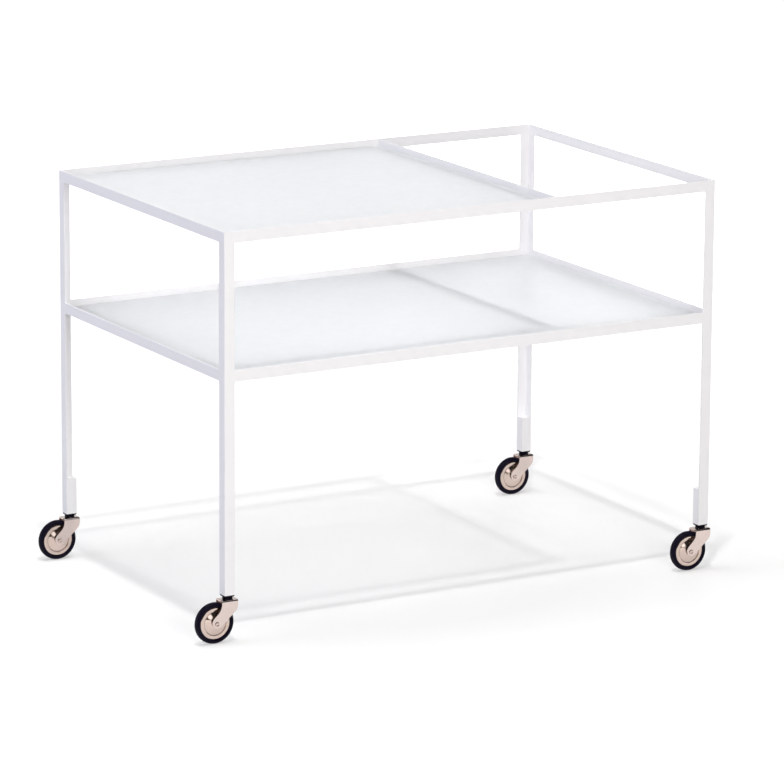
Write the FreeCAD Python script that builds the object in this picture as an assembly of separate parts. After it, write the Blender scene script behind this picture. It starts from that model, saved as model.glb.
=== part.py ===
import FreeCAD, Part
import math
import os

# Room service table: a frame of steel angle on four swivel casters, with two glass plates.
# Millimetres. +X runs along the length, +Y from the front to the back, +Z up from the floor.

# ---- Frame
LENGTH = 750.0              # outside of the left posts to outside of the right posts
DEPTH = 480.0               # outside of the front posts to outside of the back posts
FRAME_HEIGHT = 481.0        # foot of a post to the top edge of the top rails
SHELF_DROP = 182.0          # top edge of the top rails down to the top edge of the shelf rails
OPEN_BAY = 250.0            # outer face of the cross rail to outside of the right posts
ANGLE_WIDTH = 15.0          # both legs of the angle that the posts and rails are cut from
ANGLE_WALL = 2.0
ROOT_RADIUS = 0.8           # inside corner of the angle
EDGE_RADIUS = 0.4           # free edges of the angle
WELD_RADIUS = 2.0           # fillet weld where a rail meets a post
LEG_BLOCK_HEIGHT = 50.0

# ---- Glass
GLASS_THICKNESS = 4.0
GLASS_GAP = 1.0             # plate edge to the rail beside it
GLASS_CORNER_RADIUS = 3.0
GLASS_ARRIS = 0.4           # ground edge

# ---- Caster: mounting
COLLAR_THICKNESS = 1.9
COLLAR_INSET = 0.3          # collar edge inside the leg's outline
STEM_RADIUS = 4.0
STEM_LENGTH = 26.0          # part of the stem inside the leg block
STEM_CHAMFER = 0.8
STEM_HOLE_SPARE = 2.0       # drilled depth past the stem
HEX_ACROSS_FLATS = 10.0
HEX_HEIGHT = 0.9
PIN_RADIUS = 3.0            # pin below the hexagon, which the fork turns on
PIN_HEAD_RADIUS = 5.6
PIN_HEAD_HEIGHT = 2.2

# ---- Caster: swivel bearing
CAP_RADIUS = 6.8
CAP_WALL = 0.8
CAP_ROOF = 0.8
CAP_LIFT = 0.3              # rim of the cap above the fork
BALL_DIAMETER = 2.0
BALL_COUNT = 12

# ---- Caster: fork and wheel
PLATE_AHEAD = 11.2          # pin axis to the leading edge of the top plate
PLATE_BEHIND = 12.2         # pin axis to its trailing edge
FORK_WIDTH = 18.5           # outside of one arm to outside of the other
FORK_WALL = 1.8
FORK_BEND_RADIUS = 2.4      # outside of the bend between plate and arm
TRAIL = 19.6                # pin axis to wheel axis
ARM_SLOPE = 42.5            # degrees, sloping stretch of an arm
ARM_ABOVE = 9.0             # wheel axis to the upper edge of the sloping stretch
ARM_BELOW = 7.4             # wheel axis to its lower edge
ARM_END = 5.5               # wheel axis to the round end, along the slope
ARM_UPPER_ROUND = 18.0      # concave bend of the upper edge
ARM_LOWER_ROUND = 13.0      # convex bend of the lower edge
AXLE_RADIUS = 2.5
AXLE_HEAD_RADIUS = 3.4
AXLE_HEAD_HEIGHT = 1.2
AXLE_DIMPLE_RADIUS = 1.9
AXLE_DIMPLE_DEPTH = 0.7
WHEEL_DIAMETER = 55.0
WHEEL_TO_PLATE = 1.04       # top of the tyre to the underside of the fork's plate
TYRE_WIDTH = 11.0
TYRE_WALL = 6.2             # tyre outside the disc
TYRE_FOOT_DEPTH = 3.5       # part of the tyre held between the discs
TYRE_FOOT_SIDE = 0.5        # foot's side inside the disc's edge
SHOULDER_WIDTH = 4.5        # tread edge to the widest part of the tyre
DISC_WALL = 1.0
DISC_EDGE_INSET = 1.85      # outside of the disc's rim inside the widest part of the tyre
DISC_CREST = 0.5            # height of the outer ring over its rim
DISC_RING_WIDTH = 4.7       # rim to the groove
GROOVE_WIDTH = 1.0
GROOVE_DEPTH = 1.0
DOME_RISE = 2.3             # top of the disc's domed middle over its rim
DOME_DROP = 2.8             # top of the dome down to the groove's inner lip
SLEEVE_RADIUS = 4.5
SLEEVE_END_GAP = 0.25       # sleeve end to the arm beside it

# ---- Fits
SEAT_CLEARANCE = 0.03       # pieces pressed or screwed together
RUNNING_CLEARANCE = 0.06    # pin in fork, sleeve on axle, cap over the balls
PLATE_CLEARANCE = 0.12      # head of the pin below the fork's plate

# ---- Places worked out from the sizes
WHEEL_RADIUS = WHEEL_DIAMETER / 2
PLATE_BOTTOM = WHEEL_DIAMETER + WHEEL_TO_PLATE
PLATE_TOP = PLATE_BOTTOM + FORK_WALL
CAP_CEILING = PLATE_TOP + BALL_DIAMETER + RUNNING_CLEARANCE
CAP_TOP = CAP_CEILING + CAP_ROOF
HEX_TOP = CAP_TOP + HEX_HEIGHT
LEG_BOTTOM = HEX_TOP + COLLAR_THICKNESS
TOP = LEG_BOTTOM + FRAME_HEIGHT
SHELF_TOP = TOP - SHELF_DROP
HALF_LENGTH = LENGTH / 2
HALF_DEPTH = DEPTH / 2
CROSS_FACE = HALF_LENGTH - OPEN_BAY
STEM_INSET = ANGLE_WIDTH / 2
DISC_RADIUS = WHEEL_RADIUS - TYRE_WALL
DISC_EDGE = TYRE_WIDTH / 2 - DISC_EDGE_INSET
FORK_INSIDE = FORK_WIDTH / 2 - FORK_WALL

# The frame's own middle lies on the Z axis while it is drawn. The casters trail to -X, so the
# finished part is shifted until the middle of its whole outline stands on the origin.
LOWEST_X = -HALF_LENGTH + STEM_INSET - TRAIL - WHEEL_RADIUS
HIGHEST_X = HALF_LENGTH + max(0.0, PLATE_AHEAD - STEM_INSET)
MIDDLE_X = (LOWEST_X + HIGHEST_X) / 2

SIDES = {"left": -1, "right": 1, "front": -1, "back": 1}
CORNERS = [("front", "left"), ("front", "right"), ("back", "left"), ("back", "right")]
UP = FreeCAD.Vector(0, 0, 1)


def save(name, shape):
    shape = shape.copy()
    shape.translate(FreeCAD.Vector(-MIDDLE_X, 0, 0))
    shape.exportStep("parts/" + name + ".step")


def slab(xs, ys, zs):
    """Block between two values along each axis, in either order."""
    low = FreeCAD.Vector(min(xs), min(ys), min(zs))
    return Part.makeBox(abs(xs[1] - xs[0]), abs(ys[1] - ys[0]), abs(zs[1] - zs[0]), low)


def flat(a, b):
    return FreeCAD.Vector(a, b, 0)


def elevation(a, b):
    return FreeCAD.Vector(a, 0, b)


def cross_section(a, b):
    return FreeCAD.Vector(0, a, b)


def rounded_face(corners, radii, place):
    """Face with the given 2-D corners, each rounded by its radius; place gives the plane."""
    points = [FreeCAD.Vector(a, b, 0) for a, b in corners]
    rounds = []
    for index, (corner, radius) in enumerate(zip(points, radii)):
        back = (points[index - 1] - corner).normalize()
        ahead = (points[(index + 1) % len(points)] - corner).normalize()
        half_angle = back.getAngle(ahead) / 2
        run = radius / math.tan(half_angle)
        inward = (back + ahead).normalize()
        middle = corner + inward * (radius / math.sin(half_angle) - radius)
        rounds.append((corner + back * run, middle, corner + ahead * run))
    edges = []
    for index, (start, middle, end) in enumerate(rounds):
        start, middle, end = [place(p.x, p.y) for p in (start, middle, end)]
        if radii[index] > 0:
            edges.append(Part.Arc(start, middle, end).toShape())
        following = rounds[(index + 1) % len(rounds)][0]
        following = place(following.x, following.y)
        if end.distanceToPoint(following) > 1e-6:
            edges.append(Part.LineSegment(end, following).toShape())
    return Part.Face(Part.Wire(edges))


def angle_corners():
    """Section of the angle: heel at the origin, one leg along each axis."""
    wide, wall = ANGLE_WIDTH, ANGLE_WALL
    return [(0, 0), (wide, 0), (wide, wall), (wall, wall), (wall, wide), (0, wide)]


# ---- Frame pieces

def post(side_x, side_y):
    """Corner post: angle with its heel outside, its top edges eased like those of the rails."""
    corners = angle_corners()
    radii = [EDGE_RADIUS, 0, 0, ROOT_RADIUS, 0, 0]
    corners = [(side_x * (HALF_LENGTH - a), side_y * (HALF_DEPTH - b)) for a, b in corners]
    body = rounded_face(corners, radii, flat).extrude(UP * FRAME_HEIGHT)
    body.translate(UP * LEG_BOTTOM)
    toes = [HALF_LENGTH - ANGLE_WIDTH, HALF_DEPTH - ANGLE_WIDTH]
    eased = []
    for edge in body.Edges:
        middle = edge.CenterOfMass
        at_top = edge.BoundBox.ZMin > TOP - 0.01
        at_toe = abs(abs(middle.x) - toes[0]) < 0.01 or abs(abs(middle.y) - toes[1]) < 0.01
        if at_top and not at_toe:
            eased.append(edge)
    return body.makeFillet(EDGE_RADIUS, eased)


def weld_fillet(wall_side, upwards):
    """Concave corner filler, wall_side -1 against the post at its left, upwards -1 below a rail."""
    w, overlap = WELD_RADIUS, EDGE_RADIUS
    start = elevation(0, upwards * w)
    diagonal = w * (1 - math.sqrt(0.5))
    middle = elevation(diagonal, upwards * diagonal)
    end = elevation(w, 0)
    corners = [end, elevation(w, -upwards * overlap), elevation(0, -upwards * overlap), start]
    edges = [Part.Arc(start, middle, end).toShape()]
    edges += [Part.LineSegment(a, b).toShape() for a, b in zip(corners, corners[1:])]
    filler = Part.Face(Part.Wire(edges)).extrude(FreeCAD.Vector(0, ANGLE_WALL, 0))
    if wall_side > 0:
        filler = filler.mirror(FreeCAD.Vector(0, 0, 0), FreeCAD.Vector(1, 0, 0))
    return filler


def rail(run, ledge, welds):
    """Rail seen from its outer face: run along X about the middle, Y inwards, Z up from its
    lower edge. ledge is the stretch of X that has the inward leg, welds the sides of the rail,
    -1 below and 1 above, that have fillet welds at the posts."""
    wide, wall, ease = ANGLE_WIDTH, ANGLE_WALL, EDGE_RADIUS
    bar_corners = [(0, 0), (wall, 0), (wall, wide), (0, wide)]
    solid = rounded_face(bar_corners, [ease] * 4, cross_section)
    solid = solid.extrude(FreeCAD.Vector(run, 0, 0))
    solid.translate(FreeCAD.Vector(-run / 2, 0, 0))
    if ledge:
        start, end = max(ledge[0], -run / 2), min(ledge[1], run / 2)
        radii = [ease, ease, ease, ROOT_RADIUS, ease, ease]
        full = rounded_face(angle_corners(), radii, cross_section)
        full = full.extrude(FreeCAD.Vector(end - start, 0, 0))
        full.translate(FreeCAD.Vector(start, 0, 0))
        solid = solid.fuse(full)
        for near, far in ((ledge[0], start), (end, ledge[1])):
            if far - near > 0.01:
                solid = solid.fuse(slab((near, far), (wall, wide), (0, wall)))
    for side in (-1, 1):
        for upwards in welds:
            filler = weld_fillet(side, upwards)
            height = wide if upwards > 0 else 0
            filler.translate(FreeCAD.Vector(side * run / 2, 0, height))
            solid = solid.fuse(filler)
    return solid.removeSplitter()


def place_rail(shape, face, lower_edge, turn):
    """Put a rail with its outer face that far from the Z axis and turn it to its side."""
    shape = shape.copy()
    shape.translate(FreeCAD.Vector(0, -face, lower_edge))
    shape.rotate(FreeCAD.Vector(0, 0, 0), UP, turn)
    return shape


def cross_rail():
    """Angle between the front and back rails, coped over their ledges, its ledge to the left."""
    between_walls = DEPTH - 2 * ANGLE_WALL
    between_ledges = DEPTH - 2 * ANGLE_WIDTH
    full = rail(between_walls, (-between_ledges / 2, between_ledges / 2), ())
    for side in (-1, 1):
        ends = (side * between_ledges / 2, side * (between_walls / 2 + 1))
        full = full.cut(slab(ends, (-1, ANGLE_WIDTH + 1), (-1, ANGLE_WALL + ROOT_RADIUS)))
    return full


def leg_block(side_x, side_y):
    """Square block in the foot of a post, with a blind hole for the caster's stem."""
    near, far = ANGLE_WALL, ANGLE_WIDTH
    corners = [(near, near), (far, near), (far, far), (near, far)]
    corners = [(side_x * (HALF_LENGTH - a), side_y * (HALF_DEPTH - b)) for a, b in corners]
    radii = [ROOT_RADIUS + EDGE_RADIUS, 0, EDGE_RADIUS, 0]
    block = rounded_face(corners, radii, flat).extrude(UP * LEG_BLOCK_HEIGHT)
    block.translate(UP * LEG_BOTTOM)
    drilled = STEM_LENGTH + STEM_HOLE_SPARE
    foot = stem_point(side_x, side_y, LEG_BOTTOM)
    return block.cut(Part.makeCylinder(STEM_RADIUS + SEAT_CLEARANCE, drilled, foot))


def glass_plate(low_x, high_x, bottom):
    """Plate with round corners and ground edges, lying on the ledges."""
    edge_y = HALF_DEPTH - ANGLE_WALL - GLASS_GAP
    corners = [(low_x, -edge_y), (high_x, -edge_y), (high_x, edge_y), (low_x, edge_y)]
    plate = rounded_face(corners, [GLASS_CORNER_RADIUS] * 4, flat).extrude(UP * GLASS_THICKNESS)
    outline = [e for e in plate.Edges if e.BoundBox.ZLength < 0.01]
    plate = plate.makeChamfer(GLASS_ARRIS, outline)
    plate.translate(UP * bottom)
    return plate


# ---- Caster pieces, drawn with the pin axis on the Z axis and the wheel trailing to -X

def stem_point(side_x, side_y, height):
    x = side_x * (HALF_LENGTH - STEM_INSET)
    y = side_y * (HALF_DEPTH - STEM_INSET)
    return FreeCAD.Vector(x, y, height)


def revolved(points, arcs, axis_point, axis):
    """Solid turned from a closed (radius, along) outline; arcs gives the middle point of each
    edge that is an arc, by the edge's number."""
    edges = []
    for index, start in enumerate(points):
        end = points[(index + 1) % len(points)]
        if index in arcs:
            edges.append(Part.Arc(start, arcs[index], end).toShape())
        else:
            edges.append(Part.LineSegment(start, end).toShape())
    return Part.Face(Part.Wire(edges)).revolve(axis_point, axis, 360)


def collar():
    half = ANGLE_WIDTH / 2 - COLLAR_INSET
    corners = [(-half, -half), (half, -half), (half, half), (-half, half)]
    plate = rounded_face(corners, [ROOT_RADIUS] * 4, flat).extrude(UP * COLLAR_THICKNESS)
    plate.translate(UP * HEX_TOP)
    hole = Part.makeCylinder(STEM_RADIUS + SEAT_CLEARANCE, COLLAR_THICKNESS, UP * HEX_TOP)
    return plate.cut(hole)


def kingpin():
    """Threaded stem above, hexagon below the collar, then the pin that is riveted over."""
    stem_top = LEG_BOTTOM + STEM_LENGTH
    head_top = PLATE_BOTTOM - PLATE_CLEARANCE
    head_low = head_top - PIN_HEAD_HEIGHT
    points = [elevation(r, z) for r, z in (
        (0, head_low),
        (PIN_HEAD_RADIUS, head_low + PIN_HEAD_HEIGHT / 2),
        (PIN_HEAD_RADIUS, head_top),
        (PIN_RADIUS, head_top),
        (PIN_RADIUS, HEX_TOP),
        (STEM_RADIUS, HEX_TOP),
        (STEM_RADIUS, stem_top - STEM_CHAMFER),
        (STEM_RADIUS - STEM_CHAMFER, stem_top),
        (0, stem_top))]
    bulge = elevation(PIN_HEAD_RADIUS / 2, head_low + PIN_HEAD_HEIGHT / 8)
    turned = revolved(points, {0: bulge}, FreeCAD.Vector(0, 0, 0), UP)
    corner = HEX_ACROSS_FLATS / math.sqrt(3)
    turns = [math.radians(60 * k) for k in range(6)]
    hexagon = [(corner * math.cos(turn), corner * math.sin(turn)) for turn in turns]
    nut = rounded_face(hexagon, [EDGE_RADIUS] * 6, flat).extrude(UP * HEX_HEIGHT)
    nut.translate(UP * CAP_TOP)
    return turned.fuse(nut).removeSplitter()


def swivel_cap():
    """Cover of the upper ball race, open below."""
    inner = PIN_RADIUS + SEAT_CLEARANCE
    rim = PLATE_TOP + CAP_LIFT
    ease = CAP_ROOF / 2
    points = [elevation(r, z) for r, z in (
        (inner, CAP_CEILING),
        (CAP_RADIUS - CAP_WALL, CAP_CEILING),
        (CAP_RADIUS - CAP_WALL, rim),
        (CAP_RADIUS, rim),
        (CAP_RADIUS, CAP_TOP - ease),
        (CAP_RADIUS - ease, CAP_TOP),
        (inner, CAP_TOP))]
    slack = ease * (1 - math.sqrt(0.5))
    rounding = elevation(CAP_RADIUS - slack, CAP_TOP - slack)
    return revolved(points, {4: rounding}, FreeCAD.Vector(0, 0, 0), UP)


def swivel_balls():
    pitch = (PIN_RADIUS + CAP_RADIUS - CAP_WALL) / 2
    balls = []
    for number in range(BALL_COUNT):
        turn = 2 * math.pi * number / BALL_COUNT
        place = FreeCAD.Vector(pitch * math.cos(turn), pitch * math.sin(turn),
                               PLATE_TOP + BALL_DIAMETER / 2)
        balls.append(Part.makeSphere(BALL_DIAMETER / 2, place))
    return Part.makeCompound(balls)


def arm_corners():
    """Corners of an arm's outline as (x, height) from the wheel's axis, and their radii."""
    slope = math.radians(ARM_SLOPE)
    rise, run = math.sin(slope), math.cos(slope)

    def on_slope(along, across):
        return along * run + across * rise, along * rise - across * run

    top = PLATE_TOP - WHEEL_RADIUS
    trailing, leading = TRAIL - PLATE_BEHIND, TRAIL + PLATE_AHEAD
    upper_bend = (trailing + ARM_ABOVE * rise) / run
    lower_bend = (leading - ARM_BELOW * rise) / run
    corners = [
        (leading, top),
        (trailing, top),
        on_slope(upper_bend, -ARM_ABOVE),
        on_slope(-ARM_END, -ARM_ABOVE),
        on_slope(-ARM_END, ARM_BELOW),
        on_slope(lower_bend, ARM_BELOW)]
    end_round = (ARM_ABOVE + ARM_BELOW) / 2
    return corners, [0, 0, ARM_UPPER_ROUND, end_round, end_round, ARM_LOWER_ROUND]


def fork():
    """Sheet bent into a bridge: plate above, an arm down each side of the wheel."""
    corners, radii = arm_corners()
    outline = [(a - TRAIL, b + WHEEL_RADIUS) for a, b in corners]
    half = FORK_WIDTH / 2
    side = rounded_face(outline, radii, elevation).extrude(FreeCAD.Vector(0, FORK_WIDTH, 0))
    side.translate(FreeCAD.Vector(0, -half, 0))
    foot = WHEEL_RADIUS - ARM_ABOVE - ARM_BELOW
    bend = FORK_BEND_RADIUS
    inner_bend = FORK_BEND_RADIUS - FORK_WALL
    bridge = [(-half, foot), (-half, PLATE_TOP), (half, PLATE_TOP), (half, foot),
              (FORK_INSIDE, foot), (FORK_INSIDE, PLATE_BOTTOM),
              (-FORK_INSIDE, PLATE_BOTTOM), (-FORK_INSIDE, foot)]
    bends = [0, bend, bend, 0, 0, inner_bend, inner_bend, 0]
    rear = TRAIL + ARM_ABOVE + ARM_BELOW
    sheet = rounded_face(bridge, bends, cross_section)
    sheet = sheet.extrude(FreeCAD.Vector(rear + PLATE_AHEAD + 1, 0, 0))
    sheet.translate(FreeCAD.Vector(-rear, 0, 0))
    solid = side.common(sheet)
    pin_hole = Part.makeCylinder(PIN_RADIUS + RUNNING_CLEARANCE, 3 * FORK_WALL,
                                 UP * (PLATE_BOTTOM - FORK_WALL))
    axle_hole = across(AXLE_RADIUS + SEAT_CLEARANCE, FORK_WIDTH)
    return solid.cut(pin_hole).cut(axle_hole).removeSplitter()


def across(radius, width):
    """Cylinder on the wheel's axis, centred between the arms."""
    start = FreeCAD.Vector(-TRAIL, -width / 2, WHEEL_RADIUS)
    return Part.makeCylinder(radius, width, start, FreeCAD.Vector(0, 1, 0))


def wheel_point(radius, along):
    """Point of a wheel section: radius from the wheel's axis, along its axis from the middle."""
    return FreeCAD.Vector(-TRAIL, along, WHEEL_RADIUS + radius)


def turned_on_axle(points, arcs):
    points = [wheel_point(r, a) for r, a in points]
    arcs = {index: wheel_point(*middle) for index, middle in arcs.items()}
    return revolved(points, arcs, wheel_point(0, 0), FreeCAD.Vector(0, 1, 0))


def axle():
    """Rivet through both arms, with a dimpled head at each end."""
    half = FORK_WIDTH / 2 + SEAT_CLEARANCE
    outer = half + AXLE_HEAD_HEIGHT
    crown = outer - AXLE_HEAD_HEIGHT / 3
    dimple = outer - AXLE_DIMPLE_DEPTH
    points = [(0, -dimple), (AXLE_DIMPLE_RADIUS, -outer), (AXLE_HEAD_RADIUS, -crown),
              (AXLE_HEAD_RADIUS, -half), (AXLE_RADIUS, -half), (AXLE_RADIUS, half),
              (AXLE_HEAD_RADIUS, half), (AXLE_HEAD_RADIUS, crown),
              (AXLE_DIMPLE_RADIUS, outer), (0, dimple)]
    return turned_on_axle(points, {})


def hub_sleeve():
    half = FORK_INSIDE - SLEEVE_END_GAP
    bore = AXLE_RADIUS + RUNNING_CLEARANCE
    return turned_on_axle([(bore, -half), (SLEEVE_RADIUS, -half), (SLEEVE_RADIUS, half), (bore, half)], {})


def disc_outline():
    """(radius, along) points of a disc's outer face, from the sleeve to the rim."""
    inner = SLEEVE_RADIUS + SEAT_CLEARANCE
    rim = DISC_RADIUS - SEAT_CLEARANCE
    groove_out = rim - DISC_RING_WIDTH
    groove_in = groove_out - GROOVE_WIDTH
    crest = DISC_EDGE + DISC_CREST
    dome_top = DISC_EDGE + DOME_RISE
    dome = [(inner + (groove_in - inner) * share,
             dome_top - DOME_DROP * (0.65 * share + 0.35 * share ** 2))
            for share in (0, 0.3, 0.5, 0.7, 0.85, 1)]
    groove_low = dome_top - DOME_DROP - GROOVE_DEPTH / 2
    return dome + [((groove_in + groove_out) / 2, groove_low),
                   (groove_out, DISC_EDGE + DISC_CREST / 3),
                   ((groove_out + rim) / 2, crest), (rim, DISC_EDGE)]


def wheel_disc(side):
    """Pressed disc: domed middle, a groove and a crowned outer ring."""
    outer = [(r, side * a) for r, a in disc_outline()]
    inner = [(r, side * (a - DISC_WALL)) for r, a in disc_outline()]
    return turned_on_axle(outer + inner[::-1], {})


def tyre():
    """Rubber ring with round shoulders and a foot held between the discs."""
    wide = TYRE_WIDTH / 2
    tread = wide - SHOULDER_WIDTH
    foot = DISC_EDGE - DISC_WALL - TYRE_FOOT_SIDE
    foot_radius = DISC_RADIUS - TYRE_FOOT_DEPTH
    wall_radius = DISC_RADIUS + TYRE_WALL / 3
    knee = math.sqrt(0.5)
    half = [(foot_radius, foot), (DISC_RADIUS, foot), (DISC_RADIUS, DISC_EDGE),
            (wall_radius, wide), (WHEEL_RADIUS, tread)]
    points = half + [(r, -a) for r, a in half[::-1]]
    shoulder = (wall_radius + (WHEEL_RADIUS - wall_radius) * knee, tread + SHOULDER_WIDTH * knee)
    return turned_on_axle(points, {3: shoulder, 5: (shoulder[0], -shoulder[1])})


# ---- The whole table

def save_frame():
    span_x, span_y = LENGTH - 2 * ANGLE_WIDTH, DEPTH - 2 * ANGLE_WIDTH
    ledge_end = HALF_LENGTH - ANGLE_WALL - ROOT_RADIUS
    side_ledge = (-span_y / 2, span_y / 2)
    top_edge, shelf_edge = TOP - ANGLE_WIDTH, SHELF_TOP - ANGLE_WIDTH
    for front_back, left_right in CORNERS:
        name = front_back + "_" + left_right
        sides = SIDES[left_right], SIDES[front_back]
        save("post_" + name, post(*sides))
        save("leg_block_" + name, leg_block(*sides))
    save("top_rail_front", place_rail(rail(span_x, (-ledge_end, CROSS_FACE), (-1,)),
                                      HALF_DEPTH, top_edge, 0))
    save("top_rail_right", place_rail(rail(span_y, None, (-1,)), HALF_LENGTH, top_edge, 90))
    save("top_rail_back", place_rail(rail(span_x, (-CROSS_FACE, ledge_end), (-1,)),
                                     HALF_DEPTH, top_edge, 180))
    save("top_rail_left", place_rail(rail(span_y, side_ledge, (-1,)), HALF_LENGTH, top_edge, 270))
    save("top_rail_cross", place_rail(cross_rail(), CROSS_FACE, top_edge, 90))
    long_rail = rail(span_x, (-ledge_end, ledge_end), (-1, 1))
    short_rail = rail(span_y, side_ledge, (-1, 1))
    save("shelf_rail_front", place_rail(long_rail, HALF_DEPTH, shelf_edge, 0))
    save("shelf_rail_right", place_rail(short_rail, HALF_LENGTH, shelf_edge, 90))
    save("shelf_rail_back", place_rail(long_rail, HALF_DEPTH, shelf_edge, 180))
    save("shelf_rail_left", place_rail(short_rail, HALF_LENGTH, shelf_edge, 270))


def save_glass():
    inset = ANGLE_WALL + GLASS_GAP
    on_ledge = ANGLE_WALL - ANGLE_WIDTH
    save("upper_glass", glass_plate(inset - HALF_LENGTH, CROSS_FACE - inset, TOP + on_ledge))
    save("lower_glass", glass_plate(inset - HALF_LENGTH, HALF_LENGTH - inset, SHELF_TOP + on_ledge))


def save_casters():
    pieces = {
        "kingpin": kingpin(),
        "swivel_cap": swivel_cap(),
        "swivel_balls": swivel_balls(),
        "fork": fork(),
        "axle": axle(),
        "hub_sleeve": hub_sleeve(),
        "wheel_disc_front": wheel_disc(-1),
        "wheel_disc_back": wheel_disc(1),
        "tyre": tyre()}
    collars = []
    for front_back, left_right in CORNERS:
        under_leg = stem_point(SIDES[left_right], SIDES[front_back], 0)
        for name, shape in pieces.items():
            placed = shape.copy()
            placed.translate(under_leg)
            save(name + "_" + front_back + "_" + left_right, placed)
        placed = collar()
        placed.translate(under_leg)
        collars.append(placed)
    save("leg_collars", Part.makeCompound(collars))


os.makedirs("parts", exist_ok=True)
save_frame()
save_glass()
save_casters()
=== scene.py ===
import math

import bmesh
import bpy
import numpy as np
from mathutils import Matrix, Vector


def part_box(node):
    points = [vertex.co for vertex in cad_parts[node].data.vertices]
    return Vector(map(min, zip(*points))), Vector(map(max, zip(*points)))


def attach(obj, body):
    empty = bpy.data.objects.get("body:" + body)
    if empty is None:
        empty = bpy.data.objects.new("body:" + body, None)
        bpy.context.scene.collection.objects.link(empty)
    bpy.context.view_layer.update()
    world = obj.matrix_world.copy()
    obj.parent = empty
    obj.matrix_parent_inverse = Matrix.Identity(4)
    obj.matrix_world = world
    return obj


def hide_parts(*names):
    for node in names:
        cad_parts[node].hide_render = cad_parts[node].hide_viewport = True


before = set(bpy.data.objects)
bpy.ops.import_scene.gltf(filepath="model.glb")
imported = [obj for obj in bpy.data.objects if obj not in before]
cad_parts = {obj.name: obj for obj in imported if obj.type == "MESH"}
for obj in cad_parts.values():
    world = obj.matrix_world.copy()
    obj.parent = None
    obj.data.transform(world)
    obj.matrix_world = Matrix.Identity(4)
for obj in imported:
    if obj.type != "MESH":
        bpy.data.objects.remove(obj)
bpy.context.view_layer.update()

# Room service table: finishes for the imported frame, and detailed pieces for the four casters.
# Metres. +X runs along the length, +Y from the front to the back, +Z up from the floor.

MM = 0.001
MERGE_WITHIN = 0.002 * MM       # seam and pole points closer than this become one
SHARP_ANGLE = 40.0              # degrees; edges bent further than this stay sharp
CASTERS = ["front_left", "front_right", "back_left", "back_right"]

# ---- Caster sizes, in millimetres, as in the part's source
STEM_RADIUS, STEM_TOP, STEM_PITCH, THREAD_DEPTH = 4.0, 89.5, 1.25, 0.55
THREAD_LOW, THREAD_HIGH = 63.1, 88.6            # just below the leg's foot, up to the tip
HEX_TOP, HEX_LOW, HEX_FLAT = 61.6, 60.7, 5.0
HEX_CORNER, HEX_BEVEL = 0.25, 1.9               # corner's reach at an end face, cone's slope
PIN_RADIUS, PIN_HEAD_RADIUS, PIN_HEAD_TOP, PIN_HEAD_HEIGHT = 3.0, 5.6, 55.92, 2.2
SEAT_CLEARANCE = 0.03
CAP_RADIUS, CAP_WALL, CAP_RIM, CAP_CEILING = 6.8, 0.8, 58.14, 59.9
PLATE_TOP, PLATE_AHEAD, PLATE_BEHIND = 57.84, 11.2, 12.2
FORK_HALF, FORK_WALL, FORK_BEND, FORK_EDGE = 9.25, 1.8, 2.4, 0.35
TRAIL, WHEEL_RADIUS = 19.6, 27.5
ARM_SLOPE, ARM_ABOVE, ARM_BELOW, ARM_END = 42.5, 9.0, 7.4, 5.5
ARM_UPPER_ROUND, ARM_LOWER_ROUND = 18.0, 13.0
AXLE_RADIUS, AXLE_HEAD_RADIUS, AXLE_HEAD_HEIGHT = 2.5, 3.4, 1.2
AXLE_DIMPLE_RADIUS, AXLE_DIMPLE_DEPTH = 1.9, 0.7
SLEEVE_RADIUS, SLEEVE_HALF, SLEEVE_BORE = 4.5, 7.2, 2.56
DISC_WALL, DISC_RIM, DISC_EDGE = 1.0, 21.27, 3.65
DOME_IN, DOME_OUT, DOME_TOP, DOME_DROP = 4.53, 15.27, 5.95, 2.8
DOME_STRAIGHT, DOME_CURVED = 0.65, 0.35         # shares of the drop with s and with s squared
GROOVE_AND_RING = [(15.6, 2.7), (16.1, 2.7), (16.45, 3.8), (18.9, 4.15), (20.5, 4.0)]
TYRE_HALF, TYRE_FOOT, TYRE_FOOT_HALF, TYRE_BEAD = 5.5, 17.8, 2.15, 21.3
TYRE_LIP, TYRE_SHOULDER = (21.9, 4.3), 23.2
PARTING_RISE, PARTING_FOOT, PARTING_TOP = 0.08, 0.35, 0.2    # moulding line round the crown

# ---- Rows and columns of the tables that the surfaces are computed on
ARM_ROWS, PLATE_ROWS, EDGE_SAMPLES = 90, 13, 60
THREAD_ROWS, NUT_ROWS, PIN_STEPS = 190, 9, 144
CAP_STEPS, RIVET_STEPS, DISC_STEPS, TYRE_STEPS = 96, 72, 144, 160


# ---- Shapes

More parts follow.
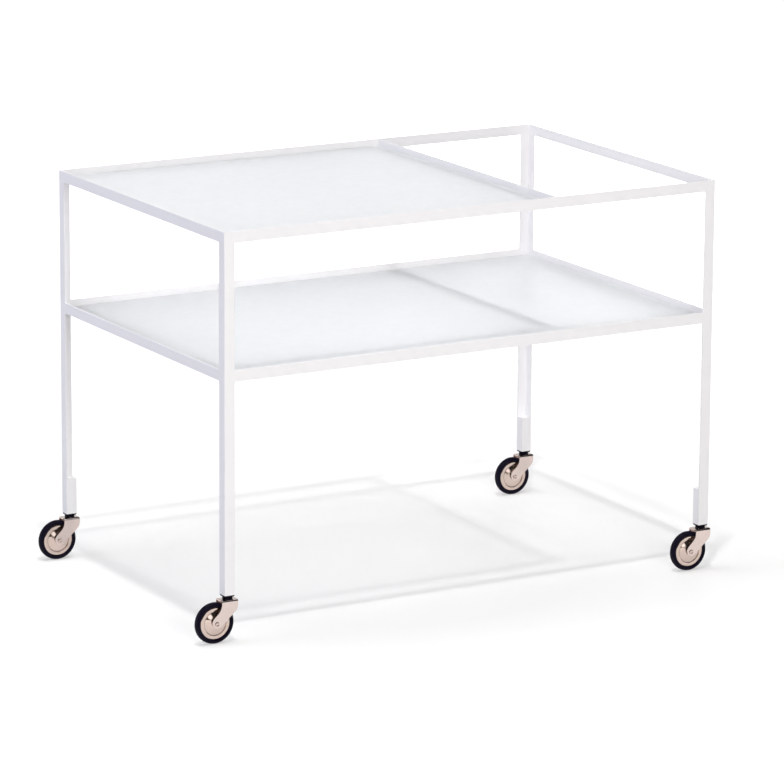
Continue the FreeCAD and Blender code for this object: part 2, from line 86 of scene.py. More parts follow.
def rounded_path(corners, radii, steps=5, closed=False):
    """Points along a 2-D line through the corners, each corner replaced by an arc of its radius.
    The arc's centre lies radius / sin(half the corner's angle) from the corner, on the line
    that halves it, and its points are weighted sums of the two spokes to its ends."""
    corner = np.array(corners, float)
    radius = np.array(radii, float)[:, None]
    to_last = np.roll(corner, 1, 0) - corner
    to_next = np.roll(corner, -1, 0) - corner
    to_last /= np.linalg.norm(to_last, axis=1, keepdims=True)
    to_next /= np.linalg.norm(to_next, axis=1, keepdims=True)
    half = np.arccos(np.clip((to_last * to_next).sum(1), -1, 1))[:, None] / 2
    middle = to_last + to_next
    middle /= np.maximum(np.linalg.norm(middle, axis=1, keepdims=True), 1e-12)
    centre = corner + middle * radius / np.sin(half)
    run = radius / np.tan(half)
    spoke_in, spoke_out = corner + to_last * run - centre, corner + to_next * run - centre
    sweep = np.maximum(np.pi - 2 * half, 1e-6)[:, :, None]
    t = np.linspace(0, 1, steps)[None, :, None]
    arcs = centre[:, None] + (np.sin((1 - t) * sweep) * spoke_in[:, None]
                              + np.sin(t * sweep) * spoke_out[:, None]) / np.sin(sweep)
    if not closed:
        arcs[0], arcs[-1] = corner[0], corner[-1]
    line = arcs.reshape(-1, 2)
    apart = np.linalg.norm(np.diff(line, axis=0), axis=1) > 1e-6
    line = line[np.concatenate([[True], apart])]
    return np.vstack([line, line[:1]]) if closed else line


def lengths_along(line):
    """Distance travelled along a line of points up to each of them."""
    return np.concatenate([[0], np.cumsum(np.linalg.norm(np.diff(line, axis=0), axis=1))])


def spaced(line, shares):
    """Points of a line at the given shares of its length."""
    travelled = lengths_along(line)
    at = np.asarray(shares) * travelled[-1]
    return np.stack([np.interp(at, travelled, line[:, k]) for k in range(line.shape[1])], -1)


def surface(name, points, around, along):
    """Mesh object over a table of points (rows, columns, 3) in metres: four-sided faces between
    neighbours, turned outwards by the sign of the enclosed volume, seam and poles merged.
    around and along are the map lengths in metres, kept as the piece's UV map."""
    rows, columns = points.shape[:2]
    number = np.arange(rows * columns).reshape(rows, columns)
    faces = np.stack([number[:-1, :-1], number[1:, :-1], number[1:, 1:], number[:-1, 1:]], -1)
    faces = faces.reshape(-1, 4)
    flat = points.reshape(-1, 3)
    a, b, c, d = (flat[faces[:, k]] for k in range(4))
    volume = (np.cross(a, b) * c).sum() + (np.cross(a, c) * d).sum()
    if volume < 0:
        faces = faces[:, ::-1]
    mesh = bpy.data.meshes.new(name)
    mesh.from_pydata(flat.tolist(), [], faces.tolist())
    lengths = np.stack(np.broadcast_arrays(around, along), -1).reshape(-1, 2)
    layer = mesh.uv_layers.new(name="lengths")
    layer.data.foreach_set("uv", lengths[faces.reshape(-1)].astype(np.float32).ravel())
    work = bmesh.new()
    work.from_mesh(mesh)
    bmesh.ops.remove_doubles(work, verts=work.verts, dist=MERGE_WITHIN)
    work.to_mesh(mesh)
    work.free()
    mesh.polygons.foreach_set("use_smooth", np.ones(len(mesh.polygons), bool))
    mesh.set_sharp_from_angle(angle=math.radians(SHARP_ANGLE))
    piece = bpy.data.objects.new(name, mesh)
    bpy.context.scene.collection.objects.link(piece)
    weighted = piece.modifiers.new("even_flats", "WEIGHTED_NORMAL")
    weighted.keep_sharp = True
    return piece


def turned(name, outline, centre, axis, steps):
    """Outline of (radius, along) millimetres turned about an axis through the centre:
    point = centre + axis * along + (side * cos + up * sin) * radius."""
    centre, axis = np.array(centre), np.array(axis, float)
    side = np.array([1.0, 0, 0])
    up = np.cross(side, axis)
    turn = np.linspace(0, 2 * np.pi, steps + 1)
    turn[-1] = 0
    spoke = np.cos(turn)[:, None] * side + np.sin(turn)[:, None] * up
    radius, height = outline[:, 0] * MM, outline[:, 1] * MM
    points = centre + spoke[:, None] * radius[None, :, None] + axis * height[None, :, None]
    around = np.linspace(0, 2 * np.pi, steps + 1)[:, None] * radius.max()
    return surface(name, points, around, lengths_along(outline)[None, :] * MM)


def both_ways(half):
    """An outline and its mirror image across the wheel's middle, as one closed outline."""
    return half + [(r, -a) for r, a in half[::-1]]


def tyre_outline():
    """Foot between the discs, bead, bulged side wall and a round crown with its parting line."""
    tread = WHEEL_RADIUS - PARTING_RISE
    half = [(TYRE_FOOT, TYRE_FOOT_HALF), (TYRE_BEAD, TYRE_FOOT_HALF), (TYRE_BEAD, DISC_EDGE),
            TYRE_LIP, (TYRE_SHOULDER, TYRE_HALF), (tread, TYRE_HALF), (tread, PARTING_FOOT),
            (WHEEL_RADIUS, PARTING_TOP)]
    radii = [0.3, 0.1, 0.15, 0.5, 0.9, 4.1, 0.1, 0.08]
    return rounded_path(both_ways(half), radii + radii[::-1], 9, closed=True)


def disc_outline(side):
    """Pressed sheet: domed middle whose height is its top less drop * (0.65 s + 0.35 s squared),
    with s the share of the way to the groove, then the groove and the crowned outer ring,
    rounded at each bend; then the same line one wall thickness further in."""
    share = np.linspace(0, 1, 13)
    dome = np.stack([DOME_IN + (DOME_OUT - DOME_IN) * share,
                     DOME_TOP - DOME_DROP * (DOME_STRAIGHT * share + DOME_CURVED * share ** 2)], -1)
    outer = [tuple(point) for point in dome] + GROOVE_AND_RING + [(DISC_RIM, DISC_EDGE)]
    radii = [0.2] + [0.5] * 11 + [0.15, 0.15, 0.15, 0.45, 1.6, 0.9, 0.15]
    inner = [(r, a - DISC_WALL) for r, a in outer]
    line = rounded_path(outer + inner[::-1], radii + radii[::-1], 7, closed=True)
    return line * (1, side)


def axle_outline():
    """Rivet: shank between two crowned heads, each with a round punch mark in its middle."""
    seat = FORK_HALF + SEAT_CLEARANCE
    top = seat + AXLE_HEAD_HEIGHT
    head = [(0, top - AXLE_DIMPLE_DEPTH), (AXLE_DIMPLE_RADIUS * 0.7, top - AXLE_DIMPLE_DEPTH),
            (AXLE_DIMPLE_RADIUS, top), (AXLE_HEAD_RADIUS - 0.4, top - 0.05),
            (AXLE_HEAD_RADIUS, seat), (AXLE_RADIUS, seat)]
    radii = [0, 0.5, 0.25, 0.5, 0.05, 0]
    return rounded_path(both_ways(head), radii + radii[::-1], 6)


def sleeve_outline():
    """Tube between the arms with eased ends."""
    half = [(SLEEVE_BORE, SLEEVE_HALF), (SLEEVE_RADIUS, SLEEVE_HALF)]
    return rounded_path(both_ways(half), [0.15, 0.3, 0.3, 0.15], 5, closed=True)


def cap_outline():
    """Cover of the upper ball race: roof, rolled shoulder and skirt, open below."""
    top = CAP_CEILING + CAP_WALL
    inner = CAP_RADIUS - CAP_WALL
    bore = PIN_RADIUS + SEAT_CLEARANCE
    corners = [(bore, CAP_CEILING), (inner, CAP_CEILING), (inner, CAP_RIM),
               (CAP_RADIUS, CAP_RIM), (CAP_RADIUS, top), (bore, top)]
    return rounded_path(corners, [0.1, 0.3, 0.2, 0.2, 0.6, 0.1], 6, closed=True)


def arm_edges():
    """Leading and trailing edge of an arm and half the plate, each from the arm's tip upwards,
    as (x, height) millimetres from the pin's axis and the floor."""
    slope = math.radians(ARM_SLOPE)
    rise, run = math.sin(slope), math.cos(slope)
    trailing, leading = TRAIL - PLATE_BEHIND, TRAIL + PLATE_AHEAD
    upper_bend = (trailing + ARM_ABOVE * rise) / run
    lower_bend = (leading - ARM_BELOW * rise) / run
    on_slope = np.array([(-ARM_END, (ARM_BELOW - ARM_ABOVE) / 2), (-ARM_END, ARM_BELOW),
                         (lower_bend, ARM_BELOW), (-ARM_END, -ARM_ABOVE),
                         (upper_bend, -ARM_ABOVE)])
    level = on_slope @ [[run, rise], [rise, -run]]
    top = PLATE_TOP - WHEEL_RADIUS
    end_round = (ARM_ABOVE + ARM_BELOW) / 2
    lead = [level[0], level[1], level[2], (leading, top)]
    trail = [level[0], level[3], level[4], (trailing, top)]
    shares = np.linspace(0, 1, ARM_ROWS) ** 1.5     # rows lie closer together at the round tip
    edges = []
    for line, bend in ((lead, ARM_LOWER_ROUND), (trail, ARM_UPPER_ROUND)):
        smooth = rounded_path(line, [0, end_round - 1e-4, bend, 0], EDGE_SAMPLES)
        edges.append(spaced(smooth, shares) + (-TRAIL, WHEEL_RADIUS))
    return edges


def fork_piece(name, pin):
    """Sheet bent into a bridge over the wheel. Its flat pattern is ruled between a leading and a
    trailing edge; across it, each section is a loop round the wall with rounded edges, and each
    point is then bent: straight over the plate, round the bend's circle, straight down the arm."""
    flat_half = FORK_HALF - FORK_BEND
    lead, trail = arm_edges()

    def unbent(edge):
        """Heights along the outside of the arm changed to distances from the plate's middle."""
        drop = PLATE_TOP - edge[:, 1]
        in_bend = np.arccos(np.clip(1 - drop / FORK_BEND, -1, 1)) * FORK_BEND
        straight = drop - FORK_BEND + FORK_BEND * np.pi / 2
        out = flat_half + np.where(drop < FORK_BEND, in_bend, straight)
        over = np.linspace(1, 0, PLATE_ROWS + 1)[1:] * flat_half
        arm = np.stack([edge[:, 0], out], -1)
        plate = np.stack([np.full(len(over), edge[-1, 0]), over], -1)
        return np.vstack([arm, plate])

    lead, trail = unbent(lead), unbent(trail)

    def outwards(edge, sign):
        """Unit vectors in the flat pattern away from the sheet, square to the edge."""
        ahead = np.gradient(edge, axis=0)
        ahead /= np.linalg.norm(ahead, axis=1, keepdims=True)
        return sign * np.stack([-ahead[:, 1], ahead[:, 0]], -1)

    lead_out, trail_out = outwards(lead, 1), outwards(trail, -1)
    tip_out = lead_out[1] + trail_out[1]
    lead_out[0] = trail_out[0] = tip_out / np.linalg.norm(tip_out)
    lead_in, trail_in = lead - lead_out * FORK_EDGE, trail - trail_out * FORK_EDGE
    quarter = np.linspace(0, np.pi / 2, 4)
    reach = np.concatenate([np.sin(quarter), np.cos(quarter)])
    depth = np.concatenate([FORK_EDGE * (1 - np.cos(quarter)),
                            FORK_WALL - FORK_EDGE * (1 - np.sin(quarter))])
    across = np.linspace(0, 1, 13)[1:-1]
    share = across[None, :, None]
    skin = lead_in[:, None] * (1 - share) + trail_in[:, None] * share
    rim_trail = trail_in[:, None] + trail_out[:, None] * FORK_EDGE * reach[None, :, None]
    rim_lead = lead_in[:, None] + lead_out[:, None] * FORK_EDGE * reach[None, ::-1, None]
    flat = np.concatenate([skin, rim_trail, skin[:, ::-1], rim_lead], 1)
    deep = np.concatenate([0 * across, depth, 0 * across + FORK_WALL, depth[::-1]])
    flat = np.concatenate([flat, flat[:, :1]], 1)
    deep = np.append(deep, deep[0])[None, :]
    x, out = flat[..., 0], flat[..., 1]
    angle = np.clip((out - flat_half) / FORK_BEND, 0, np.pi / 2)
    radius = FORK_BEND - deep
    y = np.minimum(out, flat_half) + radius * np.sin(angle)
    z = PLATE_TOP - FORK_BEND + radius * np.cos(angle)
    z -= np.maximum(out - flat_half - FORK_BEND * np.pi / 2, 0)
    half = np.stack([x, y, z], -1)
    whole = np.concatenate([half, half[-2::-1] * (1, -1, 1)], 0)
    out = np.concatenate([out, -out[-2::-1]], 0)
    x = np.concatenate([x, x[-2::-1]], 0)
    points = whole * MM + (pin[0], pin[1], 0)
    return surface(name, points, x * MM, out * MM)


def kingpin_piece(name, pin):
    """One surface round the pin's axis, whose radius is the outline's, except that the nut's rows
    follow a hexagon, flat / cos(turn from the nearest flat), cut by a cone at its corners, and the
    stem's rows follow a screw thread, a triangle wave of height / pitch less turn / full turn."""
    head_low = PIN_HEAD_TOP - PIN_HEAD_HEIGHT
    lower = rounded_path([(0, head_low), (PIN_HEAD_RADIUS * 0.8, head_low + 0.25),
                          (PIN_HEAD_RADIUS, head_low + 1.2), (PIN_HEAD_RADIUS, PIN_HEAD_TOP),
                          (PIN_RADIUS, PIN_HEAD_TOP), (PIN_RADIUS, HEX_LOW)],
                         [0, 1.0, 0.7, 0.2, 0, 0], 6)
    nut_height = np.linspace(HEX_LOW, HEX_TOP, NUT_ROWS)
    thread_height = np.linspace(THREAD_LOW, THREAD_HIGH, THREAD_ROWS)
    stem_height = np.concatenate([[HEX_TOP], thread_height])
    tip = np.array([(STEM_RADIUS - THREAD_DEPTH, STEM_TOP - 0.7), (STEM_RADIUS - 0.9, STEM_TOP),
                    (0, STEM_TOP)])
    height = np.concatenate([lower[:, 1], nut_height, stem_height, tip[:, 1]])
    radius = np.concatenate([lower[:, 0], np.zeros(NUT_ROWS),
                             np.full(len(stem_height), STEM_RADIUS), tip[:, 0]])
    turn = np.linspace(0, 2 * np.pi, PIN_STEPS + 1)[:, None]
    nearest = np.mod(turn + np.pi / 6, np.pi / 3) - np.pi / 6
    hexagon = HEX_FLAT / np.cos(nearest)
    end_gap = np.minimum(height - HEX_LOW, HEX_TOP - height)[None, :]
    nut = np.minimum(hexagon, HEX_FLAT + HEX_CORNER + np.clip(end_gap, 0, 1) * HEX_BEVEL)
    wave = np.abs(2 * np.mod(height[None, :] / STEM_PITCH - turn / (2 * np.pi), 1) - 1)
    threaded = STEM_RADIUS - THREAD_DEPTH * np.clip(1.3 * wave - 0.15, 0, 1)
    rows = np.arange(len(height))[None, :]
    nut_start, stem_start = len(lower), len(lower) + NUT_ROWS
    r = np.broadcast_to(radius[None, :], (len(turn), len(height))).copy()
    r = np.where((rows >= nut_start) & (rows < stem_start), nut, r)
    r = np.where((rows > stem_start) & (rows < len(height) - len(tip)), threaded, r)
    r[-1] = r[0]
    turn_shut = np.where(np.arange(len(turn)) == len(turn) - 1, 0, turn[:, 0])[:, None]
    points = np.stack([r * np.cos(turn_shut), r * np.sin(turn_shut),
                       np.broadcast_to(height, r.shape)], -1) * MM
    along = lengths_along(np.stack([radius, height], -1))[None, :] * MM
    return surface(name, points + (pin[0], pin[1], 0), turn * STEM_RADIUS * MM, along)


# ---- Finishes: each wanders between two linear colours

POWDER_TONES = (0.875, 0.868, 0.878), (0.860, 0.855, 0.866)
GLASS_TONES = (0.845, 0.858, 0.874), (0.861, 0.873, 0.886)
GLASS_EDGE_TONE = (0.66, 0.80, 0.79)
GLASS_SHADOW_TONE = (0.79, 0.79, 0.79)          # what each face lets through of a lamp's light
GLASS_CLEARNESS, GLASS_INDEX = 0.55, 1.52
SHEET_NICKEL_TONES = (0.73, 0.615, 0.575), (0.70, 0.585, 0.545)
SPUN_NICKEL_TONES = (0.66, 0.535, 0.475), (0.63, 0.505, 0.445)
RUBBER_TONES, RUBBER_SHEEN = ((0.0045, 0.003, 0.0100), (0.007, 0.005, 0.0125)), 0.07
PLASTIC_TONES, PLASTIC_SHEEN = ((0.003, 0.0025, 0.005), (0.006, 0.005, 0.009)), 0.08
BLACK_STEEL_TONES = (0.007, 0.006, 0.011), (0.55, 0.53, 0.56)      # oxide, and steel worn bare
WORN_FROM, WORN_TO = 0.62, 0.74                 # values of the noise where the oxide wears through
BEARING_TONES = (0.56, 0.55, 0.54), (0.64, 0.63, 0.62)


def join(tree, value, socket):
    tree.links.new(value, socket)


def new_finish(name):
    """Material with a Principled shader; returns it, its node tree and the shader."""
    material = bpy.data.materials.new(name)
    material.use_nodes = True
    tree = material.node_tree
    shader = tree.nodes["Principled BSDF"]
    return material, tree, shader


def place(tree, source="Object"):
    """Object: the row frame's metres. UV: the piece's own map lengths. Normal: which way a face
    looks. Generated: on the world, the ray's direction."""
    if source == "UV":
        mapped = tree.nodes.new("ShaderNodeUVMap")
        mapped.uv_map = "lengths"
        return mapped.outputs["UV"]
    return tree.nodes.new("ShaderNodeTexCoord").outputs[source]


def stretched(tree, vector, scale):
    """Coordinates times a factor along each axis; a small factor draws the grain out along it."""
    mapping = tree.nodes.new("ShaderNodeMapping")
    mapping.inputs["Scale"].default_value = scale
    join(tree, vector, mapping.inputs["Vector"])
    return mapping.outputs["Vector"]


def mottle(tree, vector, grain, detail=3.0, rough=0.55):
    """Noise whose patches are about that many metres across."""
    noise = tree.nodes.new("ShaderNodeTexNoise")
    noise.inputs["Scale"].default_value = 1 / grain
    noise.inputs["Detail"].default_value = detail
    noise.inputs["Roughness"].default_value = rough
    join(tree, vector, noise.inputs["Vector"])
    return noise.outputs["Fac"]


def span(tree, value, low, high, start=0.3, end=0.7):
    """Value from start to end mapped to low to high."""
    mapped = tree.nodes.new("ShaderNodeMapRange")
    limits = {"From Min": start, "From Max": end, "To Min": low, "To Max": high}
    for socket, number in limits.items():
        mapped.inputs[socket].default_value = number
    join(tree, value, mapped.inputs["Value"])
    return mapped.outputs["Result"]


def tones(tree, value, first, second):
    """Colour between two, by a value from 0 to 1."""
    mix = tree.nodes.new("ShaderNodeMix")
    mix.data_type = "RGBA"
    mix.inputs["A"].default_value = (*first, 1)
    mix.inputs["B"].default_value = (*second, 1)
    join(tree, value, mix.inputs["Factor"])
    return mix.outputs["Result"]


def relief(tree, shader, height, depth, strength=1.0):
    """Bump of that depth in metres."""
    bump = tree.nodes.new("ShaderNodeBump")
    bump.inputs["Strength"].default_value = strength
    bump.inputs["Distance"].default_value = depth
    join(tree, height, bump.inputs["Height"])
    join(tree, bump.outputs["Normal"], shader.inputs["Normal"])


def tint(tree, shader, value, pair, start=0.3, end=0.7):
    """Base colour from the first tone to the second as a noise goes from start to end."""
    join(tree, tones(tree, span(tree, value, 0, 1, start, end), *pair), shader.inputs["Base Color"])


def gloss(tree, shader, value, low, high):
    """Roughness from low to high as a noise rises."""
    join(tree, span(tree, value, low, high), shader.inputs["Roughness"])


def powder_coat():
    """White powder coat: faint orange peel about a millimetre across, slightly uneven gloss."""
    material, tree, shader = new_finish("white_powder_coat_satin")
    at = place(tree)
    tint(tree, shader, mottle(tree, at, 0.06), POWDER_TONES)
    gloss(tree, shader, mottle(tree, at, 0.009), 0.34, 0.44)
    relief(tree, shader, mottle(tree, at, 0.0012, 2.0), 0.000012, 0.5)
    return material


def satin_glass():
    """Satin-etched glass: pale, blurred seen through, with a fine frost and a greener ground edge.
    Lamps' rays pass it with the tint of a pale film, as they pass the real plate."""
    material, tree, shader = new_finish("satin_etched_glass")
    at = place(tree)
    face = tones(tree, span(tree, mottle(tree, at, 0.18), 0, 1), *GLASS_TONES)
    normal = tree.nodes.new("ShaderNodeSeparateXYZ")
    join(tree, place(tree, "Normal"), normal.inputs["Vector"])
    upright = tree.nodes.new("ShaderNodeMath")
    upright.operation = "ABSOLUTE"
    join(tree, normal.outputs["Z"], upright.inputs[0])
    edge = span(tree, upright.outputs["Value"], 1, 0, 0.3, 0.9)
    mix = tree.nodes.new("ShaderNodeMix")
    mix.data_type = "RGBA"
    join(tree, edge, mix.inputs["Factor"])
    join(tree, face, mix.inputs["A"])
    mix.inputs["B"].default_value = (*GLASS_EDGE_TONE, 1)
    join(tree, mix.outputs["Result"], shader.inputs["Base Color"])
    gloss(tree, shader, mottle(tree, at, 0.012), 0.28, 0.34)
    relief(tree, shader, mottle(tree, at, 0.0005, 2.0), 0.000006, 0.4)
    shader.inputs["Transmission Weight"].default_value = GLASS_CLEARNESS
    shader.inputs["IOR"].default_value = GLASS_INDEX
    film = tree.nodes.new("ShaderNodeBsdfTransparent")
    film.inputs["Color"].default_value = (*GLASS_SHADOW_TONE, 1)
    path = tree.nodes.new("ShaderNodeLightPath")
    passing = tree.nodes.new("ShaderNodeMixShader")
    join(tree, path.outputs["Is Shadow Ray"], passing.inputs["Fac"])
    join(tree, shader.outputs["BSDF"], passing.inputs[1])
    join(tree, film.outputs["BSDF"], passing.inputs[2])
    join(tree, passing.outputs["Shader"], tree.nodes["Material Output"].inputs["Surface"])
    return material


def pressed_nickel():
    """Bright nickel on pressed sheet: a slow ripple from the press and fine polishing marks."""
    material, tree, shader = new_finish("nickel_on_pressed_sheet")
    at = place(tree)
    shader.inputs["Metallic"].default_value = 1
    tint(tree, shader, mottle(tree, at, 0.008), SHEET_NICKEL_TONES)
    marks = mottle(tree, stretched(tree, at, (1, 1, 6)), 0.0012, 4.0, 0.7)
    gloss(tree, shader, marks, 0.13, 0.24)
    relief(tree, shader, mottle(tree, at, 0.004, 2.0), 0.00003, 0.5)
    return material


def turned_nickel():
    """Bright nickel on turned and spun pieces: rings too fine to count round the axis."""
    material, tree, shader = new_finish("nickel_on_turned_pieces")
    shader.inputs["Metallic"].default_value = 1
    tint(tree, shader, mottle(tree, place(tree), 0.006), SPUN_NICKEL_TONES)
    rings = mottle(tree, stretched(tree, place(tree, "UV"), (0.02, 1, 1)), 0.0004, 3.0, 0.6)
    gloss(tree, shader, rings, 0.07, 0.15)
    relief(tree, shader, rings, 0.000006, 0.5)
    return material


def tyre_rubber():
    """Black moulded rubber: fine matt grain, a little paler and rougher in patches."""
    material, tree, shader = new_finish("black_tyre_rubber")
    at = place(tree)
    grain = mottle(tree, at, 0.0007, 4.0, 0.6)
    worn = mottle(tree, at, 0.007)
    tint(tree, shader, worn, RUBBER_TONES)
    gloss(tree, shader, worn, 0.42, 0.56)
    relief(tree, shader, grain, 0.00002, 0.5)
    shader.inputs["Specular IOR Level"].default_value = RUBBER_SHEEN
    return material


def black_plastic():
    """Matt black moulded washer."""
    material, tree, shader = new_finish("matt_black_plastic")
    at = place(tree)
    tint(tree, shader, mottle(tree, at, 0.004), PLASTIC_TONES)
    gloss(tree, shader, mottle(tree, at, 0.002), 0.42, 0.55)
    relief(tree, shader, mottle(tree, at, 0.0006), 0.00001, 0.4)
    shader.inputs["Specular IOR Level"].default_value = PLASTIC_SHEEN
    return material


def blackened_steel():
    """Black oxide on steel, oiled, with worn glints."""
    material, tree, shader = new_finish("oiled_black_steel")
    at = place(tree)
    shader.inputs["Metallic"].default_value = 1
    wear = mottle(tree, at, 0.0016, 5.0, 0.7)
    tint(tree, shader, wear, BLACK_STEEL_TONES, WORN_FROM, WORN_TO)
    gloss(tree, shader, wear, 0.12, 0.3)
    relief(tree, shader, wear, 0.00001, 0.4)
    return material


def bearing_steel():
    """Ground steel of the balls and the hub sleeve."""
    material, tree, shader = new_finish("ground_bearing_steel")
    at = place(tree)
    shader.inputs["Metallic"].default_value = 1
    marks = mottle(tree, at, 0.0009, 4.0, 0.6)
    tint(tree, shader, marks, BEARING_TONES)
    gloss(tree, shader, marks, 0.2, 0.32)
    return material


POWDER = powder_coat()
GLASS = satin_glass()
SHEET_NICKEL = pressed_nickel()
SPUN_NICKEL = turned_nickel()
RUBBER = tyre_rubber()
PLASTIC = black_plastic()
BLACK_STEEL = blackened_steel()
STEEL = bearing_steel()


# ---- CAD nodes that stay get their finish

def coat(node, material):
    """Give a carried-over CAD mesh its finish."""
    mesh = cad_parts[node].data
    mesh.materials.clear()
    mesh.materials.append(material)


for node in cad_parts:
    if node.startswith(("post_", "top_rail_", "shelf_rail_", "leg_block_")):
        coat(node, POWDER)
    elif node.endswith("_glass"):
        coat(node, GLASS)
    elif node == "leg_collars":
        coat(node, PLASTIC)
    elif node.startswith("swivel_balls_"):
        coat(node, STEEL)


# ---- Casters

def fit(piece, material, body, node):
    """Give a new piece its finish, slot and body, in place of its CAD node."""
    piece.data.materials.append(material)
    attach(piece, body)
    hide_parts(node)


for corner in CASTERS:
    cap_low, cap_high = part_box("swivel_cap_" + corner)
    pin = np.array((cap_low + cap_high) / 2)
    tyre_low, tyre_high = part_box("tyre_" + corner)
    hub = np.array((tyre_low + tyre_high) / 2)
    hub[1], hub[2] = pin[1], WHEEL_RADIUS * MM
    floor_pin = (pin[0], pin[1], 0)
    across = (0, 1, 0)
    upright = (0, 0, 1)
    swivel, wheel = "swivel_" + corner, "wheel_" + corner
    fit(kingpin_piece("threaded_kingpin_" + corner, pin), BLACK_STEEL, "frame",
        "kingpin_" + corner)
    fit(turned("rolled_cap_" + corner, cap_outline(), floor_pin, upright, CAP_STEPS),
        BLACK_STEEL, "frame", "swivel_cap_" + corner)
    fit(fork_piece("bent_fork_" + corner, pin), SHEET_NICKEL, swivel,
        "fork_" + corner)
    fit(turned("riveted_axle_" + corner, axle_outline(), hub, across, RIVET_STEPS),
        SPUN_NICKEL, swivel, "axle_" + corner)
    fit(turned("turned_sleeve_" + corner, sleeve_outline(), hub, across, RIVET_STEPS),
        STEEL, wheel, "hub_sleeve_" + corner)
    for face, side in (("front", -1), ("back", 1)):
        fit(turned("spun_disc_" + face + "_" + corner, disc_outline(side), hub, across, DISC_STEPS),
            SPUN_NICKEL, wheel, "wheel_disc_" + face + "_" + corner)
    fit(turned("round_tyre_" + corner, tyre_outline(), hub, across, TYRE_STEPS),
        RUBBER, wheel, "tyre_" + corner)


# ---- Floor, light and camera

def rays_seen(tree, *names):
    """1 for rays of any of the named kinds, 0 for the rest."""
    path = tree.nodes.new("ShaderNodeLightPath")
    total = path.outputs[names[0]]
    for name in names[1:]:
        add = tree.nodes.new("ShaderNodeMath")
        add.operation = "ADD"
        add.use_clamp = True
        join(tree, total, add.inputs[0])
        join(tree, path.outputs[name], add.inputs[1])
        total = add.outputs["Value"]
    return total


FLOOR_SIZE = 60.0
FLOOR_COLOUR = (0.62, 0.62, 0.61)
FLOOR_LIFT_NEAR, FLOOR_LIFT_FAR = 0.315, 1.0    # glow that background rays see besides its shade
FLOOR_NEAR, FLOOR_FAR = 0.3, 2.0                # distances from the origin where the lifts apply
DOME_COLOUR, DOME_LEVEL = (0.98, 0.98, 1.0), 0.20
SWEEP_LOW, SWEEP_HIGH = 0.10, 0.20              # height of a direction where the white sweep ends
SWEEP_LEAN = 0.20                               # its end rises to the back and falls to the front
ROOM_LEVEL = 0.03                               # dark studio around it, seen only in gloss
WINDOW_TOWARDS = (0.10, -0.97, 0.16)            # bright window in front, seen only in gloss
WINDOW_LEVEL, WINDOW_EDGE = 1.8, (0.9890, 0.9950)

# Name, place, the point it faces, side, level there, colour, and whether its shape shows in gloss
LAMPS = [
    ("key_far_overhead", (-0.71, -1.37, 5.3), (0, 0, 0.45), 0.22, 0.40, (1.0, 0.99, 0.985), True),
    ("broad_overhead", (-0.45, 0.35, 2.4), (0, 0, 0.45), 1.1, 0.48, (1.0, 1.0, 1.0), False),
    ("front_fill", (-0.35, -2.9, 0.95), (0, 0, 0.4), 0.9, 0.47, (1.0, 0.965, 0.955), False),
    ("left_fill", (-2.6, 0.3, 1.0), (0, 0, 0.4), 1.4, 0.28, (0.76, 0.78, 1.0), False),
    ("back_fill", (2.2, 2.7, 0.48), (0, 0, 0.35), 0.8, 0.28, (0.98, 0.98, 1.0), False),
]

CAMERA_PLACE = (-3.1010, -5.4290, 1.7530)
CAMERA_HEADING, CAMERA_DIP, CAMERA_ROLL = 29.967, 13.445, 0.377    # degrees
CAMERA_LENS, CAMERA_SENSOR = 216.01, 36         # millimetres
CAMERA_SEES_FROM, CAMERA_SEES_TO = 0.1, 100


def studio_floor():
    """Pale matt floor. Background rays also see a glow on it, which rises away from the table, so
    that the floor ends in white and keeps the table's shadow."""
    half = FLOOR_SIZE / 2
    mesh = bpy.data.meshes.new("studio_floor")
    mesh.from_pydata([(-half, -half, 0), (half, -half, 0), (half, half, 0), (-half, half, 0)], [],
                     [(0, 1, 2, 3)])
    floor = bpy.data.objects.new("studio_floor", mesh)
    bpy.context.scene.collection.objects.link(floor)
    material = bpy.data.materials.new("white_studio_floor")
    material.use_nodes = True
    tree = material.node_tree
    tree.nodes.clear()
    matt = tree.nodes.new("ShaderNodeBsdfDiffuse")
    matt.inputs["Color"].default_value = (*FLOOR_COLOUR, 1)
    glow = tree.nodes.new("ShaderNodeEmission")
    glow.inputs["Color"].default_value = (1, 1, 1, 1)
    away = tree.nodes.new("ShaderNodeVectorMath")
    away.operation = "LENGTH"
    join(tree, place(tree), away.inputs[0])
    level = tree.nodes.new("ShaderNodeMath")
    level.operation = "MULTIPLY"
    background_rays = rays_seen(tree, "Is Camera Ray", "Is Glossy Ray", "Is Transmission Ray")
    join(tree, background_rays, level.inputs[0])
    lift = span(tree, away.outputs["Value"], FLOOR_LIFT_NEAR, FLOOR_LIFT_FAR, FLOOR_NEAR, FLOOR_FAR)
    join(tree, lift, level.inputs[1])
    join(tree, level.outputs["Value"], glow.inputs["Strength"])
    both = tree.nodes.new("ShaderNodeAddShader")
    join(tree, matt.outputs["BSDF"], both.inputs[0])
    join(tree, glow.outputs["Emission"], both.inputs[1])
    out = tree.nodes.new("ShaderNodeOutputMaterial")
    join(tree, both.outputs["Shader"], out.inputs["Surface"])
    mesh.materials.append(material)


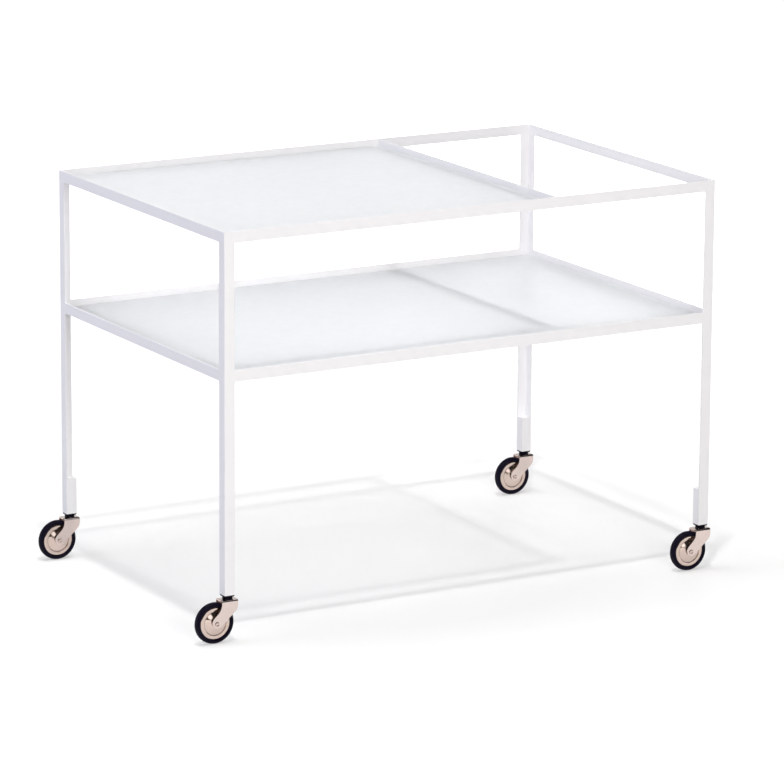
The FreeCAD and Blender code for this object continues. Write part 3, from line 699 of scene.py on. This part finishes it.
def studio_dome():
    """Soft light from all round. The camera and what glass lets through see white; gloss sees a
    white sweep low down, highest at the back, and a dark room above it with one bright window."""
    world = bpy.data.worlds.new("studio_dome")
    bpy.context.scene.world = world
    world.use_nodes = True
    tree = world.node_tree
    tree.nodes.clear()

    def background(colour, strength):
        shader = tree.nodes.new("ShaderNodeBackground")
        shader.inputs["Color"].default_value = (*colour, 1)
        shader.inputs["Strength"].default_value = strength
        return shader

    def either(share, first, second):
        mix = tree.nodes.new("ShaderNodeMixShader")
        join(tree, share, mix.inputs["Fac"])
        join(tree, first.outputs[0], mix.inputs[1])
        join(tree, second.outputs[0], mix.inputs[2])
        return mix

    white = (1, 1, 1)
    seen = either(rays_seen(tree, "Is Camera Ray", "Is Transmission Ray"),
                  background(DOME_COLOUR, DOME_LEVEL), background(white, 1))
    height = tree.nodes.new("ShaderNodeVectorMath")
    height.operation = "DOT_PRODUCT"
    height.inputs[1].default_value = (0, -SWEEP_LEAN, 1)
    join(tree, place(tree, "Generated"), height.inputs[0])
    facing = tree.nodes.new("ShaderNodeVectorMath")
    facing.operation = "DOT_PRODUCT"
    facing.inputs[1].default_value = Vector(WINDOW_TOWARDS).normalized()
    join(tree, place(tree, "Generated"), facing.inputs[0])
    brighter = tree.nodes.new("ShaderNodeMath")
    brighter.operation = "MAXIMUM"
    sweep = span(tree, height.outputs["Value"], 1, ROOM_LEVEL, SWEEP_LOW, SWEEP_HIGH)
    window = span(tree, facing.outputs["Value"], 0, WINDOW_LEVEL, *WINDOW_EDGE)
    join(tree, sweep, brighter.inputs[0])
    join(tree, window, brighter.inputs[1])
    mirrored = background(white, 1)
    join(tree, brighter.outputs["Value"], mirrored.inputs["Strength"])
    whole = either(rays_seen(tree, "Is Glossy Ray"), seen, mirrored)
    out = tree.nodes.new("ShaderNodeOutputWorld")
    join(tree, whole.outputs["Shader"], out.inputs["Surface"])


def soft_lamp(name, location, target, size, level, colour, in_gloss):
    """Square area lamp; level is the light that it gives a white card that faces it at the target,
    and in_gloss says whether its own shape shows in gloss."""
    lamp = bpy.data.lights.new(name, "AREA")
    lamp.shape = "SQUARE"
    lamp.size = size
    away = Vector(location) - Vector(target)
    lamp.energy = level * math.pi ** 2 * away.length_squared
    lamp.color = colour
    holder = bpy.data.objects.new(name, lamp)
    holder.location = location
    holder.visible_camera = False
    holder.visible_glossy = in_gloss
    holder.rotation_mode = "QUATERNION"
    holder.rotation_quaternion = away.to_track_quat("Z", "Y")
    bpy.context.scene.collection.objects.link(holder)


def photo_camera():
    """Camera at the photograph's angle: heading turned from +Y towards +X, dip below the level."""
    heading, dip, roll = (math.radians(a) for a in (CAMERA_HEADING, CAMERA_DIP, CAMERA_ROLL))
    ahead = Vector((math.sin(heading) * math.cos(dip), math.cos(heading) * math.cos(dip),
                    -math.sin(dip)))
    level = Vector((math.cos(heading), -math.sin(heading), 0))
    right = level * math.cos(roll) + level.cross(ahead) * math.sin(roll)
    up = right.cross(ahead)
    data = bpy.data.cameras.new("photo_camera")
    data.lens = CAMERA_LENS
    data.sensor_width = CAMERA_SENSOR
    data.clip_start, data.clip_end = CAMERA_SEES_FROM, CAMERA_SEES_TO
    camera = bpy.data.objects.new("photo_camera", data)
    camera.rotation_mode = "QUATERNION"
    camera.rotation_quaternion = Matrix((right, up, -ahead)).transposed().to_quaternion()
    camera.location = CAMERA_PLACE
    bpy.context.scene.collection.objects.link(camera)
    bpy.context.scene.camera = camera


studio_floor()
studio_dome()
for lamp in LAMPS:
    soft_lamp(*lamp)
photo_camera()
bpy.context.scene.view_settings.view_transform = "Standard"
